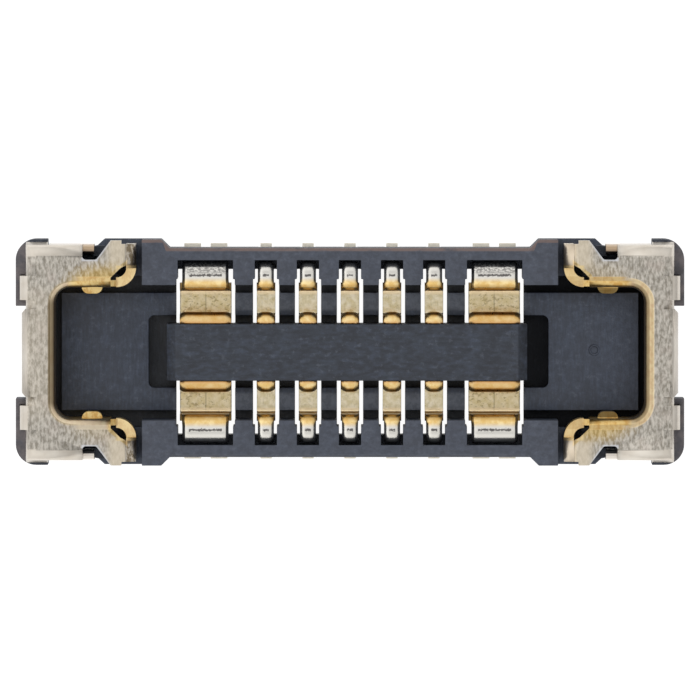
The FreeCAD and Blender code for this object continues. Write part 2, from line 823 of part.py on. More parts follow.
def add_curl(body):
    """Turned-down wing end that runs on into a curled spring."""
    sketch = new_sketch(body, "curl_outline", "XY_Plane", s.curl_bottom)
    tip = wing_end + s.curl_radius
    draw(sketch, [
        (wing_end, s.wing_low_side),
        (wing_end, s.shell_inner_side, s.curl_radius),
        (tip + s.fit, s.shell_inner_side),
        (tip + s.fit, s.shell_inner_side + s.sheet),
        (wing_inner, s.shell_inner_side + s.sheet, s.curl_radius - s.sheet),
        (wing_inner, s.wing_low_side),
    ])
    return pad(body, sketch, s.curl_top - s.curl_bottom, "curl")


def add_bump(body):
    """Half-round locking bump on the inner lip."""
    sketch = new_sketch(body, "bump_outline", "XY_Plane", s.bump_bottom)
    root = s.shell_inner_side + s.sheet / 2
    face = s.shell_inner_side - s.bump_rise
    draw(sketch, [
        (bump_centre - s.bump_half_width, root),
        (bump_centre - s.bump_half_width, face, s.bump_rise),
        (bump_centre + s.bump_half_width, face, s.bump_rise),
        (bump_centre + s.bump_half_width, root),
    ])
    return pad(body, sketch, s.bump_top - s.bump_bottom, "bump")


def tab_section(sketch, outer, bottom):
    """Section of a tab: the plate, a bend and a leg going down."""
    root = shell_outer_end - s.sheet * 1.5
    draw(sketch, [
        (root, s.wall_top),
        (outer - s.sheet, s.wall_top),
        (outer - s.sheet, bottom),
        (outer, bottom),
        (outer, shell_top, s.sheet),
        (root, shell_top),
    ])


def add_tabs(body):
    """Middle tab down to the board, and the first of the two side tabs."""
    middle = new_sketch(body, "middle_tab_section", "XZ_Plane")
    tab_section(middle, tab_outer, ZERO)
    root_half = s.tab_half_width + s.tab_shoulder
    pad(body, middle, root_half * 2, "middle_tab", symmetric=True)
    shoulders = new_sketch(body, "shoulder_outline", "XY_Plane", shell_top)
    clear = tab_outer + s.fit
    for side in (1, -1):
        draw(shoulders, [
            (shell_outer_end, root_half * side),
            (clear, s.tab_half_width * side),
            (clear, (root_half + s.fit) * side),
            (shell_outer_end, (root_half + s.fit) * side),
        ])
    pocket(body, shoulders, shell_top, "shoulders")
    side = new_sketch(body, "side_tab_section", "XZ_Plane", -s.side_tab_far)
    tab_section(side, side_tab_outer, s.side_tab_bottom)
    return pad(body, side, s.side_tab_far - s.side_tab_near, "side_tab")


def build_shells():
    """The right shell is drawn, and the left one is its twin turned round."""
    body = new_body("end_shell_right")
    add_plate(body)
    add_lips(body)
    pieces = [add_foot(body), add_flare(body), add_curl(body), add_bump(body), add_tabs(body)]
    mirror_across(body, pieces, "XZ_Plane", "other_side")
    return [body, put(new_twin("end_shell_left", body), ZERO, True)]


# Build, check and write

def check(bodies):
    for thing in doc.Objects:
        if "Invalid" in thing.State or "Error" in thing.State:
            raise RuntimeError("%s failed: %s" % (thing.Label, thing.State))
    for body in bodies:
        shape = body.Shape
        if shape.isNull() or not shape.isValid() or len(shape.Solids) != 1:
            raise RuntimeError("%s is not one valid solid" % body.Label)


pieces = [build_housing()]
pieces += build_contacts()
pieces += build_shells()
doc.recompute()
check(pieces)

os.makedirs("parts", exist_ok=True)
for piece in pieces:
    piece.Shape.exportStep(os.path.join("parts", piece.Label + ".step"))
    print("%-26s volume %.5f" % (piece.Label, piece.Shape.Volume))
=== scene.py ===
"""Looks of a fine-pitch board-to-board socket, laid out as a Blender add-on.

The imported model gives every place. The moulding is the solid with eased edges, the two
stamped shells are the solids with crisp sheared edges, and each contact is a bent strip
grown along its own line.
"""

import math

import bmesh
import bpy
from bpy.props import FloatProperty, FloatVectorProperty, PointerProperty
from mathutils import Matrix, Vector


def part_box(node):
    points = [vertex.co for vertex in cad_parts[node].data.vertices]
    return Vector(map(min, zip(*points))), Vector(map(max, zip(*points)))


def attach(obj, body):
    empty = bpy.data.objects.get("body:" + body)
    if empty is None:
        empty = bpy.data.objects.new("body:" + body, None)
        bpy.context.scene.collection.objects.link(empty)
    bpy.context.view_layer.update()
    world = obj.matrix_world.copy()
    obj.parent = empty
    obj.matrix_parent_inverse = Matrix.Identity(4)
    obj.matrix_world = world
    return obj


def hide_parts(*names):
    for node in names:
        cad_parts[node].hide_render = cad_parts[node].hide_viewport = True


bl_info = {
    "name": "Fine-pitch socket",
    "version": (1, 0, 0),
    "blender": (4, 5, 0),
    "location": "View3D > Sidebar > Socket",
    "description": "Moulding, bent contacts and stamped end shells of a small socket",
    "category": "Object",
}

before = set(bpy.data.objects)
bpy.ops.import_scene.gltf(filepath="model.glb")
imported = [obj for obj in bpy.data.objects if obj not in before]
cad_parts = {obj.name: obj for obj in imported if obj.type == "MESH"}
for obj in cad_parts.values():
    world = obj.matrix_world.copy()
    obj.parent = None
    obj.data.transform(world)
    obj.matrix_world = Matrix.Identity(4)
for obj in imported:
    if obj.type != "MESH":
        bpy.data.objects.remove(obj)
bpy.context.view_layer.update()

MM = 0.001
# The picture is 700 pixels wide, at 120 pixels a millimetre.
PICTURE_WIDTH = 700 / 120 * MM

# Places on the part in mm, along and across from its middle.
EJECTOR_MARK = (2.037, 0.012)
POWER_COLUMN = 1.203
OPENING_CORNER = (2.32, 0.416)
OPENING_ROUND = 0.13
SIGNAL_PITCH = 0.35
# What lies in the middle of the picture: along, across and up, in mm.
PICTURE_MIDDLE = (0, 0.0139, 0.25)

CONTACTS = 14
WIDE_CONTACT = "power_contact"
# Width of the strips' eased edges, in mm.
STRIP_EDGE = 0.009

# What the strip tree takes for each kind of contact. Widths, drop and gap are in mm.
NARROW_STRIP = {
    "Head Width": 0.133, "Tail Width": 0.095, "Head Crown": 0.22, "Head Drop": 0.025,
    "Spring Crown": 0.035, "Crown Power": 4.0, "Foot Gap": 0.0,
}
WIDE_STRIP = {
    "Head Width": 0.385, "Tail Width": 0.36, "Head Crown": 0.16, "Head Drop": 0.03,
    "Spring Crown": 0.02, "Crown Power": 24.0, "Foot Gap": 0.08,
}


# Helpers

def linear(hex_text):
    """An sRGB hex colour as linear red, green, blue and alpha."""
    parts = [int(hex_text[place:place + 2], 16) / 255 for place in (1, 3, 5)]
    bent = [p / 12.92 if p <= 0.04045 else ((p + 0.055) / 1.055) ** 2.4 for p in parts]
    return (*bent, 1.0)


def add_node(tree, kind, inputs=None, **settings):
    """One node, with its settings, and its inputs as plain values or as links."""
    node = tree.nodes.new(kind)
    for name, value in settings.items():
        setattr(node, name, value)
    for key, value in (inputs or {}).items():
        if isinstance(value, bpy.types.NodeSocket):
            tree.links.new(value, node.inputs[key])
        else:
            node.inputs[key].default_value = value
    return node


def math_of(tree, operation, first, second=0.0, clamp=False):
    """The result of one sum on two numbers or sockets."""
    node = add_node(tree, "ShaderNodeMath", {0: first, 1: second},
                    operation=operation, use_clamp=clamp)
    return node.outputs[0]


def scaled(tree, value, by, plus):
    """A value times one number, plus another."""
    node = add_node(tree, "ShaderNodeMath", {0: value, 1: by, 2: plus},
                    operation="MULTIPLY_ADD")
    return node.outputs[0]


def rest(tree, share):
    """What a share leaves of the whole."""
    return math_of(tree, "SUBTRACT", 1.0, share)


def distance(tree, first, second):
    """How far two steps at right angles lead together."""
    squares = [math_of(tree, "POWER", step, 2.0) for step in (first, second)]
    return math_of(tree, "SQRT", math_of(tree, "ADD", *squares))


def product(tree, *shares):
    """The product of several numbers or sockets."""
    whole = shares[0]
    for share in shares[1:]:
        whole = math_of(tree, "MULTIPLY", whole, share)
    return whole


def either(tree, *shares):
    """The largest of several numbers or sockets."""
    whole = shares[0]
    for share in shares[1:]:
        whole = math_of(tree, "MAXIMUM", whole, share)
    return whole


def fade(tree, value, start, end):
    """0 where value is at start and 1 where it is at end, eased at both."""
    node = add_node(tree, "ShaderNodeMapRange",
                    {"Value": value, "From Min": start, "From Max": end},
                    interpolation_type="SMOOTHSTEP")
    return node.outputs["Result"]


def blend_colours(tree, share, first, second):
    """A mix of two colours, given as sockets or as linear values."""
    node = add_node(tree, "ShaderNodeMix", data_type="RGBA")
    pairs = (("Factor_Float", share), ("A_Color", first), ("B_Color", second))
    for socket in node.inputs:
        for name, value in pairs:
            if socket.identifier == name:
                if isinstance(value, bpy.types.NodeSocket):
                    tree.links.new(value, socket)
                else:
                    socket.default_value = value
    return next(o for o in node.outputs if o.identifier == "Result_Color")


def tint(tree, base, hex_text, *shares):
    """The base colour with another over it, as much as the product of the shares."""
    return blend_colours(tree, product(tree, *shares), base, linear(hex_text))


def new_material(name):
    """A bare material, its tree, its shader and the place on the piece in mm."""
    material = bpy.data.materials.new(name)
    material.use_nodes = True
    tree = material.node_tree
    shader = next(n for n in tree.nodes if n.type == "BSDF_PRINCIPLED")
    where = add_node(tree, "ShaderNodeTexCoord")
    in_mm = add_node(tree, "ShaderNodeVectorMath",
                     {0: where.outputs["Object"], "Scale": 1 / MM}, operation="SCALE")
    return material, tree, shader, in_mm.outputs[0]


def grain(tree, place, size, detail=3.0, stretch=(1, 1, 1), roughness=0.55):
    """A cloudy pattern whose blotches are about size mm across, times stretch."""
    squeezed = add_node(tree, "ShaderNodeMapping",
                        {"Vector": place,
                         "Scale": Vector([1 / (size * s) for s in stretch])})
    noise = add_node(tree, "ShaderNodeTexNoise",
                     {"Vector": squeezed.outputs[0], "Scale": 1.0,
                      "Detail": detail, "Roughness": roughness})
    return noise.outputs["Fac"]


def bump(tree, shader, height, depth, strength=1.0):
    """Lets a pattern of that depth in mm catch the light."""
    node = add_node(tree, "ShaderNodeBump",
                    {"Height": height, "Distance": depth * MM, "Strength": strength})
    tree.links.new(node.outputs[0], shader.inputs["Normal"])


def axes(tree, place):
    """Place along, across and up, then the same along and across without sign, in mm."""
    split = add_node(tree, "ShaderNodeSeparateXYZ", {0: place})
    x, y, z = split.outputs
    return x, y, z, math_of(tree, "ABSOLUTE", x), math_of(tree, "ABSOLUTE", y)


# Finishes

def moulded_black_polymer(look):
    """Black liquid-crystal polymer, injection moulded.

    A matt, faintly blue skin with cloudy flow marks and fine filler grain that glints a
    little, drawn out where the melt ran; painted shade, near black, in the deep grooves,
    painted light on the floors, ribs and wall tops, paler in patches on the corner blocks,
    and a painted brownish highlight along one top edge.
    """
    material, tree, shader, place = new_material("moulded black liquid-crystal polymer")
    x, y, height, along, across = axes(tree, place)
    clouds = grain(tree, place, 0.16, 5.0)
    flow = grain(tree, place, 0.016, 4.0, (1, 7, 1))
    fibre = grain(tree, place, 0.03, 5.0, (2.5, 1, 1))
    skin = blend_colours(tree, fade(tree, clouds, 0.3, 0.7), (*look.dark, 1), (*look.light, 1))
    # On the floors the streaks run across the part, on the walls and island along it.
    raised = fade(tree, height, 0.25, 0.35)
    streak = add_node(tree, "ShaderNodeMix",
                      {0: raised, 2: flow, 3: fibre}, data_type="FLOAT").outputs[0]
    skin = tint(tree, skin, "#465064", fade(tree, streak, 0.42, 0.72), 0.34)
    skin = tint(tree, skin, "#1b1f28", fade(tree, streak, 0.5, 0.3), 0.5)
    # Glass and mineral filler in the skin, under a hundredth of a millimetre, is drawn
    # at 0.02 mm so that it shows.
    specks = fade(tree, grain(tree, place, 0.02, 1.0), 0.66, 0.78)
    skin = tint(tree, skin, "#667080", specks, 0.13)
    # Painted light: the low floors are lightened, more so towards the right-hand end.
    low = product(tree, fade(tree, height, 0.30, 0.22), fade(tree, height, 0.14, 0.19))
    lit = math_of(tree, "ADD", 0.29, product(tree, fade(tree, x, 1.9, 2.25), 0.2))
    skin = tint(tree, skin, "#4d5669", low, lit)
    # Painted light: the ribs between the slots are lightened further.
    ribs = product(tree, low, fade(tree, along, 1.5, 1.4), fade(tree, across, 0.53, 0.50),
                   fade(tree, across, 0.33, 0.36))
    skin = tint(tree, skin, "#6f747e", ribs, 0.5)
    # Painted light: the tops of the walls are lighter than the island and the floors.
    top = fade(tree, height, 0.485, 0.515)
    mottle = grain(tree, place, 0.045, 5.0, (1, 1, 1), 0.62)
    skin = tint(tree, skin, "#4e5360", top, 0.6)
    skin = tint(tree, skin, "#252932", fade(tree, mottle, 0.55, 0.4), 0.3)
    skin = tint(tree, skin, "#646a77", fade(tree, mottle, 0.56, 0.7), 0.25)
    # Painted shade: the deep grooves go near black, more so on the right.
    deep = product(tree, fade(tree, height, 0.17, 0.12), fade(tree, height, 0.0, 0.04))
    groove_shade = product(tree, deep,
                      math_of(tree, "ADD", 0.68, product(tree, fade(tree, x, 1.0, 1.6), 0.22)))
    skin = tint(tree, skin, "#0b0c0f", groove_shade)
    blocks = product(tree, fade(tree, along, 2.66, 2.69), fade(tree, height, 0.2, 0.34))
    patch = math_of(tree, "ADD", 0.35,
                    product(tree, 0.5, fade(tree, grain(tree, place, 0.12, 4.0), 0.35, 0.65)))
    skin = tint(tree, skin, "#6f6869", blocks, patch)
    # The wall is thicker towards its ends, so its edge lies further out there.
    edge_at = math_of(tree, "ADD", 0.845, product(tree, fade(tree, along, 1.525, 1.56), 0.07))
    # A painted brownish highlight runs along the rear top edge of the wall.
    edge_highlight = product(tree, fade(tree, math_of(tree, "SUBTRACT", y, edge_at), -0.006, 0.006),
                  fade(tree, height, 0.44, 0.49), fade(tree, along, 1.85, 1.75),
                  fade(tree, grain(tree, place, 0.06, 4.0, (2, 1, 1)), 0.2, 0.55))
    skin = tint(tree, skin, "#705d57", edge_highlight, 0.85)
    tree.links.new(skin, shader.inputs["Base Color"])
    tree.links.new(scaled(tree, clouds, 0.3, look.roughness - 0.15), shader.inputs["Roughness"])
    shader.inputs["IOR"].default_value = 1.5
    # The right-hand grooves also hardly shine, which deepens their painted shade.
    tree.links.new(math_of(tree, "SUBTRACT", 0.5,
                           product(tree, deep, 0.38, fade(tree, x, 1.0, 1.6))),
                   shader.inputs["Specular IOR Level"])
    # A small round ejector mark is sunk in the right-hand floor.
    from_mark = distance(tree, math_of(tree, "SUBTRACT", x, EJECTOR_MARK[0]),
                         math_of(tree, "SUBTRACT", y, EJECTOR_MARK[1]))
    rim = product(tree, fade(tree, from_mark, 0.05, 0.042), fade(tree, from_mark, 0.024, 0.034),
                  low)
    surface = math_of(tree, "ADD", streak, grain(tree, place, 0.014, 2.0))
    bump(tree, shader, math_of(tree, "SUBTRACT", surface, product(tree, rim, 4.0)), 0.002)
    return material


def plated_shell(look):
    """Copper alloy sheet, stamped, with a pale plating and gold where it springs.

    Rolling and stamping leave short strokes across the flat, the bends are smooth and
    painted bright as a painted reflection, and the gold fades out over the top beside each
    spring. Both shells are one stamping turned half round, so the stronger wash of gold is
    on opposite corners.
    """
    material, tree, shader, place = new_material("stamped copper alloy, pale plating and gold")
    x, y, height, along, across = axes(tree, place)
    strokes = grain(tree, place, 0.022, 5.0, (1, 2.6, 3), 0.62)
    pits = grain(tree, place, 0.04, 4.0, (1, 1.5, 1), 0.6)
    blotches = grain(tree, place, 0.16, 4.0)
    # The flat is level; round the two ends the strokes run on over the bend.
    flat = either(tree, fade(tree, height, 0.5985, 0.5997),
                  product(tree, fade(tree, along, 2.56, 2.58), fade(tree, along, 2.688, 2.672),
                          fade(tree, across, 0.81, 0.79), fade(tree, height, 0.53, 0.56)))
    # Distance out from the opening between the lips, whose corners are round.
    past = [math_of(tree, "MAXIMUM", math_of(tree, "SUBTRACT", way, corner), 0.0)
            for way, corner in zip((along, across), OPENING_CORNER)]
    from_opening = math_of(tree, "SUBTRACT", distance(tree, *past), OPENING_ROUND)
    # The right shell's end lip has a wider smooth bend, and so has each lip beside a
    # side spring.
    collar = product(tree, fade(tree, from_opening, 0.085, 0.07), fade(tree, x, 2.2, 2.4))
    broad = product(tree, fade(tree, from_opening, 0.094, 0.084), fade(tree, along, 2.34, 2.24))
    flat = product(tree, flat, rest(tree, either(tree, collar, broad)))
    pale = blend_colours(tree, fade(tree, strokes, 0.34, 0.64), linear("#918b80"),
                         (*look.plating, 1))
    pale = tint(tree, pale, "#7c766e", fade(tree, pits, 0.5, 0.34), 0.4)
    pale = tint(tree, pale, "#c3b6ad", fade(tree, blotches, 0.5, 0.72), 0.35)
    pale = tint(tree, pale, "#dccfba", fade(tree, x, -2.40, -2.48), 0.2,
                fade(tree, across, 0.62, 0.45))
    # The bends are painted paler than the flat: a painted reflection of the light.
    smooth = blend_colours(tree, fade(tree, blotches, 0.3, 0.7), linear("#c8bfb2"),
                           linear("#d6cfc4"))
    # On the end lips the painted reflection is duller.
    smooth = tint(tree, smooth, "#a7a29d", fade(tree, along, 2.66, 2.70), 0.25)
    pale = blend_colours(tree, flat, smooth, pale)
    # Round the notch and up its slope the sheared edge gets a painted highlight.
    slope = math_of(tree, "ADD", product(tree, along, 0.805),
                    math_of(tree, "SUBTRACT", product(tree, across, 0.595), 2.1687))
    slope_rim = product(tree, fade(tree, slope, -0.028, -0.012), fade(tree, slope, 0.05, 0.04),
                        fade(tree, across, 0.765, 0.79))
    notch_rim = product(tree, fade(tree, along, 2.08, 2.11), fade(tree, along, 2.238, 2.226),
                        fade(tree, across, 0.758, 0.770), fade(tree, across, 0.80, 0.79))
    rim = product(tree, either(tree, slope_rim, notch_rim), fade(tree, height, 0.50, 0.52))
    pale = tint(tree, pale, "#d3d6dc", rim, 0.7)
    # The tongue beside each notch is rubbed brighter.
    tongue = product(tree, fade(tree, along, 2.06, 1.96), fade(tree, across, 0.66, 0.74), flat)
    pale = tint(tree, pale, "#d8cbb4", tongue, 0.7)
    # The inner end of the left shell is painted dark with specks: painted shade from the wall
    # beside it.
    shaded_end = product(tree, fade(tree, x, -1.872, -1.85), fade(tree, x, 0.0, -0.5),
                       fade(tree, across, 0.69, 0.72), fade(tree, height, 0.40, 0.45))
    specks = math_of(tree, "ADD", 0.3, product(tree, 0.6, fade(tree, pits, 0.56, 0.44)))
    pale = tint(tree, pale, "#77684f", shaded_end, specks)
    gold = blend_colours(tree, fade(tree, strokes, 0.35, 0.62), linear("#a88d55"), (*look.gold, 1))
    # On the bends the gold is painted brighter too: a painted reflection.
    bright_gold = blend_colours(tree, fade(tree, pits, 0.35, 0.6), linear("#d2a863"),
                                linear("#ebcf8f"))
    gold = blend_colours(tree, flat, bright_gold, gold)
    # The gold is thickest round the side spring and thins out over the flat.
    strong = fade(tree, product(tree, x, y), 0.5, -0.5)
    from_spring = math_of(tree, "SUBTRACT", along, 2.04)
    nearer = math_of(tree, "SUBTRACT", across, 0.56)
    spread = distance(tree, math_of(tree, "DIVIDE", from_spring, 0.36),
                      math_of(tree, "DIVIDE", nearer, 0.20))
    ragged = scaled(tree, strokes, 0.8, -0.4)
    wash = fade(tree, math_of(tree, "ADD", spread, ragged), 1.15, 0.45)
    wash = product(tree, wash, math_of(tree, "ADD", 0.25, product(tree, strong, 0.65)))
    near = fade(tree, from_opening, 0.066, 0.05)
    lip = product(tree, near, fade(tree, along, 2.42, 2.28))
    # At the left front corner the lip has hardly any gold left.
    bare = product(tree, fade(tree, x, 0.5, -0.5), fade(tree, y, 0.1, -0.1),
                   fade(tree, across, 0.545, 0.556))
    lip = product(tree, either(tree, lip, product(tree, broad, 0.8)),
                  rest(tree, product(tree, bare, 0.65, fade(tree, along, 1.98, 2.05))))
    inner = either(tree, product(tree, near, fade(tree, x, 0.5, -0.5), 0.55),
                   product(tree, collar, 0.8))
    curl = product(tree, fade(tree, along, 1.96, 1.93), fade(tree, across, 0.735, 0.72))
    from_slot = math_of(tree, "ADD", product(tree, along, 0.612),
                        math_of(tree, "SUBTRACT", product(tree, across, 0.79), 1.7148))
    slot_rim = product(tree, fade(tree, from_slot, 0.04, 0.022), fade(tree, along, 1.84, 1.87),
                       fade(tree, along, 2.03, 2.0), fade(tree, height, 0.50, 0.52))
    band = either(tree, wash, lip, product(tree, inner, 0.75), curl, product(tree, slot_rim, 0.85))
    coat = blend_colours(tree, band, pale, gold)
    coat = tint(tree, coat, "#f5e4bd", curl, 0.4)
    # On the right the lip's gold is older, and a trace of gold runs up the wing's end.
    older = product(tree, lip, fade(tree, x, 1.0, 1.5), fade(tree, across, 0.53, 0.56))
    coat = tint(tree, coat, "#9f7838", older, 0.35)
    trace = product(tree, fade(tree, x, 1.0, 1.5), fade(tree, along, 1.89, 1.86))
    coat = tint(tree, coat, "#d9b77a", trace, 0.22)
    # The inner bend of the end strip is painted dark as painted shade, all over on the left
    # and only low down on the right; the side springs on the right have lost some gold.
    shaded_bend = either(tree,
                     product(tree, fade(tree, x, -2.40, -2.45), fade(tree, across, 0.50, 0.40),
                             fade(tree, from_opening, 0.066, 0.056)),
                     product(tree, fade(tree, x, 2.30, 2.40),
                             fade(tree, from_opening, 0.05, 0.032)))
    coat = tint(tree, coat, "#6a5a40", shaded_bend, 0.75)
    worn = product(tree, fade(tree, x, 1.0, 1.5), fade(tree, across, 0.545, 0.535),
                   fade(tree, along, 2.3, 2.2), fade(tree, height, 0.50, 0.46))
    coat = tint(tree, coat, "#5f4b28", worn, 0.85)
    # The side foot seen in each notch has turned brown at the rear only, with painted shade over
    # its outer side.
    foot = product(tree, fade(tree, across, 0.80, 0.815), fade(tree, along, 2.10, 2.12),
                   fade(tree, along, 2.26, 2.24), fade(tree, height, 0.50, 0.47))
    coat = tint(tree, coat, "#f1e9df", foot, 0.6)
    bronze = product(tree, foot, fade(tree, y, -0.1, 0.1), fade(tree, height, 0.25, 0.29))
    bronze_and_shade = blend_colours(tree, fade(tree, across, 0.83, 0.86), linear("#5c4330"),
                            linear("#b59a78"))
    coat = blend_colours(tree, product(tree, bronze, 0.85), coat, bronze_and_shade)
    tree.links.new(coat, shader.inputs["Base Color"])
    shader.inputs["Metallic"].default_value = 1.0
    dull = add_node(tree, "ShaderNodeMix",
                    {0: flat, 2: look.roughness - 0.04,
                     3: math_of(tree, "ADD", product(tree, strokes, 0.25),
                                look.roughness - 0.06)},
                    data_type="FLOAT").outputs[0]
    dull = math_of(tree, "ADD", dull, product(tree, curl, 0.1))
    tree.links.new(dull, shader.inputs["Roughness"])
    bump(tree, shader, product(tree, flat, math_of(tree, "ADD", strokes, pits)), 0.003)
    return material


def plated_contact(look):
    """Thin bronze strip, stamped, bent and plated in zones.

    Bright nickel on the outer head runs into gold on its inner face; the spring tip is
    gold, and the cradle between them has a thin worn gold with fine scratches.
    """
    material, tree, shader, place = new_material("bent bronze strip, nickel and gold plating")
    _, y, height, along, across = axes(tree, place)
    clouds = grain(tree, place, 0.05, 4.0)
    strokes = grain(tree, place, 0.010, 3.0, (1, 6, 4))
    pits = grain(tree, place, 0.022, 4.0, (1.4, 1, 1), 0.62)
    # Across its own width: from the middle of the nearest signal column, or of the
    # power column.
    wide = fade(tree, along, 0.88, 0.92)
    from_middle = add_node(
        tree, "ShaderNodeMix",
        {0: wide, 2: math_of(tree, "PINGPONG", along, SIGNAL_PITCH / 2),
         3: math_of(tree, "ABSOLUTE", math_of(tree, "SUBTRACT", along, POWER_COLUMN))},
        data_type="FLOAT").outputs[0]
    worn = blend_colours(tree, fade(tree, clouds, 0.35, 0.68), linear("#d9caa2"),
                         linear("#f0e4c9"))
    worn = tint(tree, worn, "#8f8470", fade(tree, strokes, 0.56, 0.72), 0.25)
    # The wide strips are pitted, more than the narrow ones, with a seam down the middle.
    pitted = product(tree, fade(tree, pits, 0.48, 0.36),
                     math_of(tree, "ADD", 0.15, product(tree, wide, 0.5)))
    worn = tint(tree, worn, "#6b5c3d", pitted)
    worn = tint(tree, worn, "#d3b878", wide, 0.3)
    seam = product(tree, wide, fade(tree, from_middle, 0.008, 0.003))
    worn = tint(tree, worn, "#6a5f45", seam, 0.4)
    gold = blend_colours(tree, fade(tree, clouds, 0.35, 0.7), (*look.gold, 1), linear("#f7dfa6"))
    raised = fade(tree, height, 0.11, 0.16)
    tip = product(tree, fade(tree, across, 0.36, 0.35), raised)
    outer = product(tree, fade(tree, across, 0.46, 0.5), raised)
    coat = blend_colours(tree, math_of(tree, "ADD", tip, outer, True), worn, gold)
    # The inside of the drop's bend is burnished, and the drop above it is painted dark brown-gold
    # as painted shade.
    burnished = product(tree, fade(tree, across, 0.465, 0.485), fade(tree, height, 0.15, 0.11),
                        fade(tree, across, 0.6, 0.58))
    coat = tint(tree, coat, "#ffe7bd", burnished, 0.7)
    drop = product(tree, fade(tree, across, 0.48, 0.5), fade(tree, across, 0.60, 0.58),
                   fade(tree, height, 0.13, 0.17), fade(tree, height, 0.43, 0.40))
    coat = tint(tree, coat, "#63491f", drop, 0.85)
    coat = tint(tree, coat, "#bd8a4c", tip, wide, 0.35)
    rosy = product(tree, tip, fade(tree, across, 0.27, 0.24))
    coat = tint(tree, coat, "#f0bb8c", rosy, 0.5)
    old_gold = product(tree, fade(tree, across, 0.578, 0.552), fade(tree, height, 0.39, 0.41))
    coat = tint(tree, coat, "#b98b42", old_gold, 0.45)
    silver = product(tree, fade(tree, across, 0.578, 0.63), raised)
    coat = blend_colours(tree, silver, coat, (*look.nickel, 1))
    # The wide heads of the rear row are scuffed along their outer edge.
    scuffed = product(tree, wide, fade(tree, y, 0.64, 0.69), raised,
                      fade(tree, grain(tree, place, 0.014, 4.0, (1.6, 1, 1)), 0.56, 0.46))
    coat = tint(tree, coat, "#6d6a69", scuffed, 0.75)
    # A dark ragged line across the top of each head is a painted reflection of the lens.
    line_width = scaled(tree, grain(tree, place, 0.016, 3.0), 0.04, -0.012)
    off_line = math_of(tree, "ABSOLUTE", math_of(tree, "SUBTRACT", across, 0.643))
    line_reach = math_of(tree, "ADD", 0.026, product(tree, wide, 0.112))
    lens_reflection_line = product(tree, raised,
                        fade(tree, math_of(tree, "SUBTRACT", off_line, line_width), 0.006, -0.004),
                        fade(tree, math_of(tree, "SUBTRACT", from_middle, line_reach), 0.004,
                             -0.004))
    coat = tint(tree, coat, "#4a4646", lens_reflection_line, 0.9)
    tinned = fade(tree, across, 0.78, 0.80)
    coat = tint(tree, coat, "#fbf5e6", tinned)
    tree.links.new(coat, shader.inputs["Base Color"])
    cradle = rest(tree, either(tree, tip, outer))
    # The matt tin on the tails scatters light more than bare metal does.
    tree.links.new(rest(tree, product(tree, tinned, 0.7)), shader.inputs["Metallic"])
    uneven = scaled(tree, clouds, 0.16, look.roughness - 0.08)
    tree.links.new(math_of(tree, "ADD", uneven, product(tree, tinned, 0.3)),
                   shader.inputs["Roughness"])
    bump(tree, shader, product(tree, cradle, math_of(tree, "ADD", clouds, pits)), 0.0015)
    return material


def light_table(look):
    """Opal acrylic over lamps: an even white that also shines up through the windows."""
    material, tree, shader, place = new_material("opal acrylic light table")
    faint = grain(tree, place, 3.0, 2.0)
    tree.links.new(blend_colours(tree, faint, linear("#787878"), linear("#7e7e7e")),
                   shader.inputs["Base Color"])
    shader.inputs["Roughness"].default_value = 0.6
    shader.inputs["Emission Color"].default_value = (1, 1, 1, 1)
    shader.inputs["Emission Strength"].default_value = look.glow
    return material


# Building

def plain_mesh(source):
    """The source object's finished form as a mesh of its own."""
    bpy.context.view_layer.update()
    graph = bpy.context.evaluated_depsgraph_get()
    return bpy.data.meshes.new_from_object(source.evaluated_get(graph))


def new_object(name, mesh):
    """An object in the scene that shows this mesh."""
    thing = bpy.data.objects.new(name, mesh)
    bpy.context.scene.collection.objects.link(thing)
    return thing


def finish_edges(piece, edge):
    """Eases the sharp edges by this width in mm, unless it is 0, and evens the shading."""
    if edge > 0:
        ease = piece.modifiers.new("eased edges", "BEVEL")
        ease.width = edge * MM
        ease.segments = 2
        ease.limit_method = "ANGLE"
        ease.angle_limit = math.radians(40)
        ease.use_clamp_overlap = True
    eased = plain_mesh(piece)
    piece.modifiers.clear()
    piece.data = eased
    # An edge with no room for the easing stays sharp, so that flats look flat beside it.
    eased.set_sharp_from_angle(angle=math.radians(50))
    even = piece.modifiers.new("even shading", "WEIGHTED_NORMAL")
    even.keep_sharp = True
    finished = plain_mesh(piece)
    piece.modifiers.clear()
    piece.data = finished
    finished.name = piece.name
    return piece


def softened(node, name, edge, material):
    """A copy of a CAD node with its faces joined up and its sharp edges finished."""
    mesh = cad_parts[node].data.copy()
    work = bmesh.new()
    work.from_mesh(mesh)
    bmesh.ops.remove_doubles(work, verts=work.verts, dist=1e-7)
    bmesh.ops.dissolve_limit(work, angle_limit=math.radians(0.3), verts=work.verts,
                             edges=work.edges)
    work.to_mesh(mesh)
    work.free()
    mesh.materials.clear()
    mesh.materials.append(material)
    mesh.polygons.foreach_set("use_smooth", [True] * len(mesh.polygons))
    return finish_edges(new_object(name, mesh), edge)


def add_blocks(piece, ends, sides):
    """Adds a block between two rings of corners, in mm, at each corner of the piece."""
    work = bmesh.new()
    work.from_mesh(piece.data)
    for to_right in sides:
        for to_rear in (-1, 1):
            first, second = [[work.verts.new((to_right * x * MM, to_rear * y * MM, z * MM))
                              for x, y, z in ring] for ring in ends]
            work.faces.new(first)
            work.faces.new(second)
            for i in range(len(first)):
                j = (i + 1) % len(first)
                work.faces.new((first[i], first[j], second[j], second[i]))
    bmesh.ops.recalc_face_normals(work, faces=work.faces)
    work.to_mesh(piece.data)
    work.free()


def add_webs(piece):
    """Fills the gap between each side foot of the shells and the housing's slope."""
    corners = ((2.0, 0.80), (2.136, 0.80), (2.136, 0.878), (2.10, 0.886), (2.04, 0.886))
    add_blocks(piece, [[(x, y, z) for x, y in corners] for z in (0.05, 0.33)], (-1, 1))


